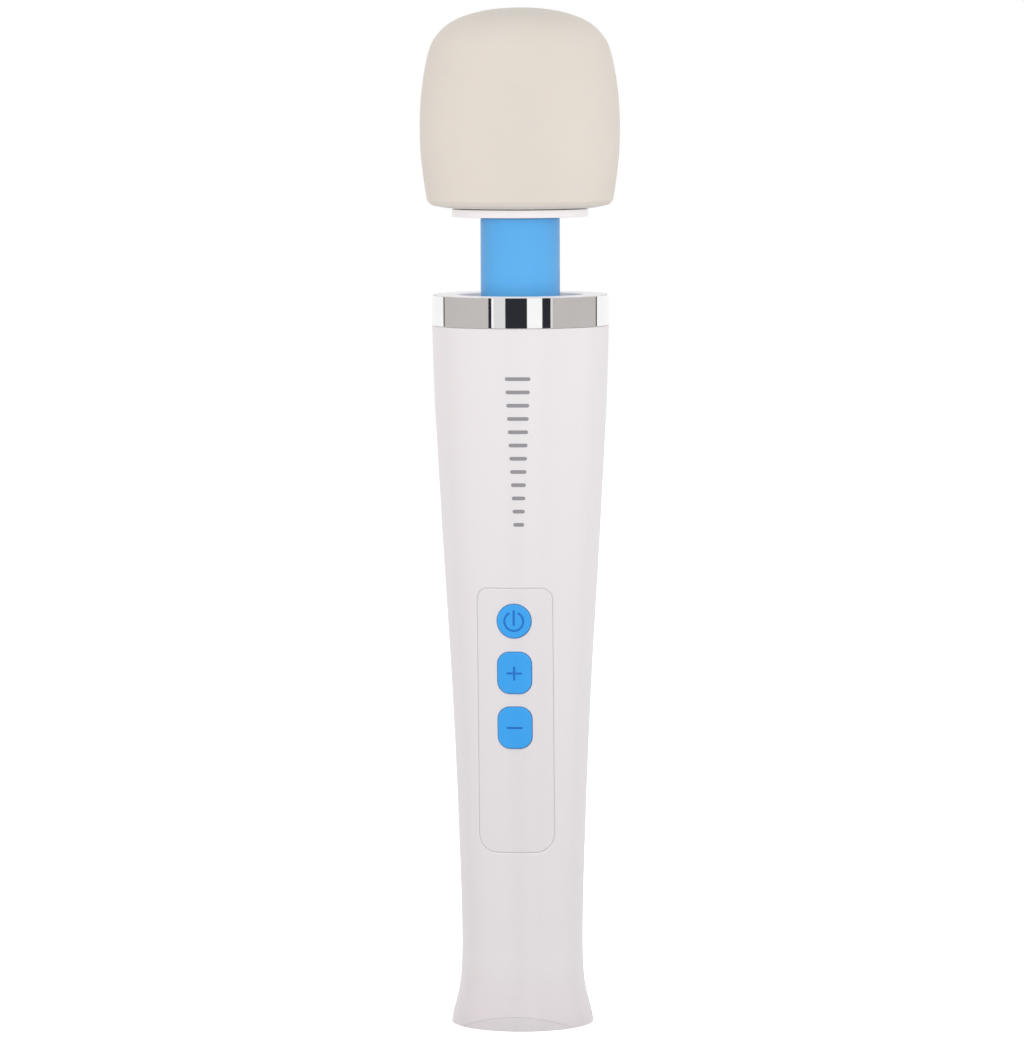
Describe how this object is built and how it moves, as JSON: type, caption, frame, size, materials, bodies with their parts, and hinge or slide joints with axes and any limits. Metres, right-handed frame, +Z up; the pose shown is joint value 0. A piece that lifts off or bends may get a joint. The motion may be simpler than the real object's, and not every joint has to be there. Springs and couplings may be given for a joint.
{
  "type": "handheld wand massager",
  "caption": "Handheld wand massager: domed silicone head on a flexible neck, chrome collar, tapered handle with push buttons and a flared foot it can stand on.",
  "frame": {"origin": "middle of the flat base, on the handle's axis", "axes": "+Z up the handle's axis to the head, -Y the front with the buttons, +X to the right seen from the front"},
  "size_m": [0.0628, 0.0628, 0.32],
  "materials": {
    "white_gloss_plastic": "glossy white moulded plastic",
    "ivory_silicone": "matte warm-white silicone",
    "blue_silicone": "satin sky-blue silicone",
    "blue_button": "satin sky-blue plastic",
    "chrome": "mirror-polished plating",
    "steel": "plain machined steel",
    "brass": "machined brass",
    "black_plastic": "matte black moulded plastic",
    "board_green": "green solder mask",
    "copper_winding": "enamelled copper winding",
    "red_wire": "red wire insulation",
    "black_rubber": "matte black rubber"
  },
  "bodies": {
    "handle": {"front_shell": "white_gloss_plastic", "rear_shell": "white_gloss_plastic", "button_panel": "white_gloss_plastic", "end_cap": "white_gloss_plastic", "top_cap": "white_gloss_plastic", "chrome_ring": "chrome", "motor_can": "steel", "inlet_pin": "steel", "shell_screw_1": "steel", "shell_screw_2": "steel", "shell_screw_3": "steel", "shell_screw_4": "steel", "neck_screw_1": "steel", "neck_screw_2": "steel", "neck_screw_3": "steel", "board_screw_1": "steel", "board_screw_2": "steel", "motor_screw_1": "steel", "motor_screw_2": "steel", "control_board": "board_green", "motor_wire_red": "red_wire", "inlet_wire_red": "red_wire", "motor_isolator": "black_rubber", "motor_wire_black": "black_rubber", "inlet_wire_black": "black_rubber", "neck_mount": "black_plastic", "motor_end_bell": "black_plastic", "motor_mount": "black_plastic", "power_inlet": "black_plastic", "motor_magnet_1": "black_plastic", "motor_magnet_2": "black_plastic", "power_switch": "black_plastic", "plus_switch": "black_plastic", "minus_switch": "black_plastic"},
    "power_button": {"power_button": "blue_button", "power_plunger": "black_plastic"},
    "plus_button": {"plus_button": "blue_button", "plus_plunger": "black_plastic"},
    "minus_button": {"minus_button": "blue_button", "minus_plunger": "black_plastic"},
    "neck_mid": {"neck_sleeve": "blue_silicone", "neck_spring": "steel"},
    "head": {"silicone_head": "ivory_silicone", "head_plate": "white_gloss_plastic", "core_base": "white_gloss_plastic", "core_cap": "white_gloss_plastic", "lower_bearing": "steel", "upper_bearing": "steel", "plate_screw_1": "steel", "plate_screw_2": "steel", "plate_screw_3": "steel"},
    "motor_rotor": {"motor_rotor": "copper_winding", "motor_coupler": "steel", "flex_shaft": "steel"},
    "eccentric": {"eccentric_shaft": "steel", "eccentric_weight": "brass", "head_coupler": "steel"}
  },
  "joints": [
    {"name": "power_press", "type": "slide", "parent": "handle", "child": "power_button", "axis": [0, 1, 0], "range_m": [0, 0.0008], "stiffness_N_per_m": 400, "springref_m": -0.002},
    {"name": "plus_press", "type": "slide", "parent": "handle", "child": "plus_button", "axis": [0, 1, 0], "range_m": [0, 0.0008], "stiffness_N_per_m": 400, "springref_m": -0.002},
    {"name": "minus_press", "type": "slide", "parent": "handle", "child": "minus_button", "axis": [0, 1, 0], "range_m": [0, 0.0008], "stiffness_N_per_m": 400, "springref_m": -0.002},
    {"name": "neck_bend_fore_aft", "type": "hinge", "parent": "handle", "child": "neck_mid", "pos_m": [0, 0, 0.2355], "axis": [1, 0, 0], "range_deg": [-15, 15], "stiffness_Nm_per_rad": 4, "deforming": ["neck_sleeve", "neck_spring", "flex_shaft"]},
    {"name": "neck_bend_side", "type": "hinge", "parent": "neck_mid", "child": "head", "pos_m": [0, 0, 0.2485], "axis": [0, 1, 0], "range_deg": [-15, 15], "stiffness_Nm_per_rad": 4, "deforming": ["neck_sleeve", "neck_spring", "flex_shaft"]},
    {"name": "motor_spin", "type": "hinge", "parent": "handle", "child": "motor_rotor", "pos_m": [0, 0, 0.18], "axis": [0, 0, 1], "continuous": true},
    {"name": "eccentric_spin", "type": "hinge", "parent": "head", "child": "eccentric", "pos_m": [0, 0, 0.279], "axis": [0, 0, 1], "continuous": true}
  ],
  "couplings": [
    {"joint": "eccentric_spin", "follows": "motor_spin", "ratio": 1}
  ]
}
